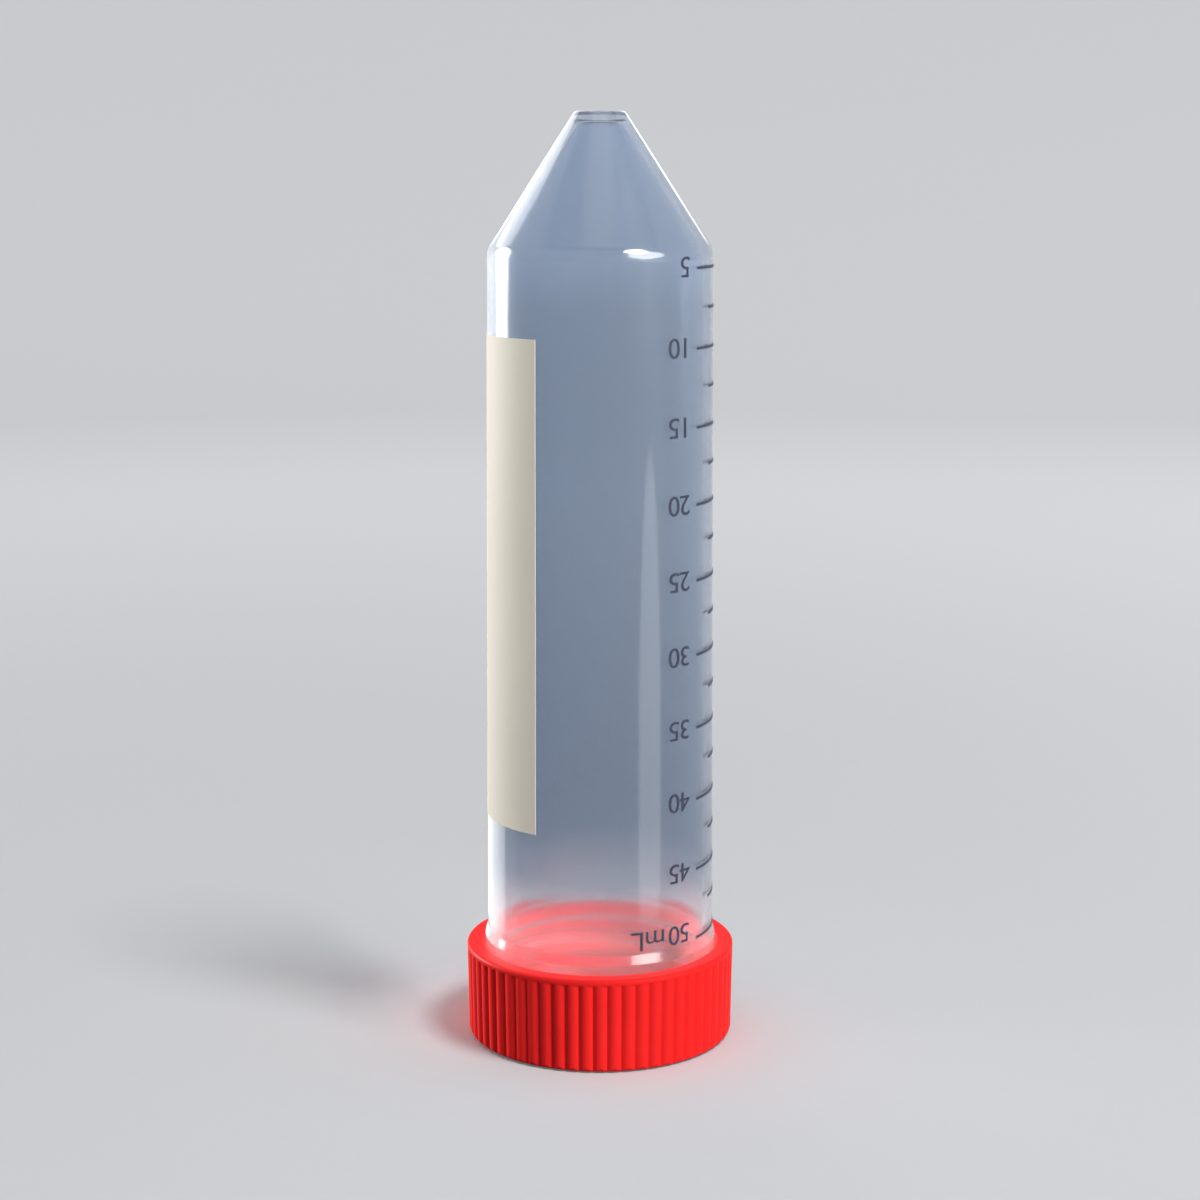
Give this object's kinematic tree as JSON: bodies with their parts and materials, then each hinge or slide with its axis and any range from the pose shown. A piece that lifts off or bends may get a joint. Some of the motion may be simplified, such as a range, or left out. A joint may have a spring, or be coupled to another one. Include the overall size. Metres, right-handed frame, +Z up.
{
  "type": "conical centrifuge tube",
  "caption": "Clear conical centrifuge tube with a printed millilitre scale and writing area, closed by a ribbed red screw cap, standing cap down.",
  "frame": {"origin": "middle of the cap's flat closed end, which is what the tube stands on", "axes": "+Z up the axis from the cap to the conical tip; -Y is the front, with the scale to its right (+X) and the writing area to its left"},
  "size_m": [0.0342, 0.0342, 0.1169],
  "materials": {
    "tube_plastic": "clear moulded polypropylene, faintly milky and blue-grey",
    "cap_plastic": "moulded red polyethylene, satin",
    "seal_plastic": "soft red sealing disc",
    "print_ink": "dark blue-black printing ink",
    "patch_ink": "matte cream white printing ink"
  },
  "bodies": {
    "cap": {"screw_cap": "cap_plastic"},
    "seal": {"seal_disc": "seal_plastic"},
    "tube": {"tube": "tube_plastic", "graduation_marks": "print_ink", "writing_patch": "patch_ink"}
  },
  "joints": [
    {"name": "tube_turn", "type": "hinge", "parent": "cap", "child": "seal", "pos_m": [0, 0, 0.0022], "axis": [0, 0, 1], "range_deg": [0, 720]},
    {"name": "tube_rise", "type": "slide", "parent": "seal", "child": "tube", "axis": [0, 0, 1], "range_m": [0, 0.008]}
  ],
  "couplings": [
    {"joint": "tube_rise", "follows": "tube_turn", "m_per_rad": 0.00063662}
  ]
}
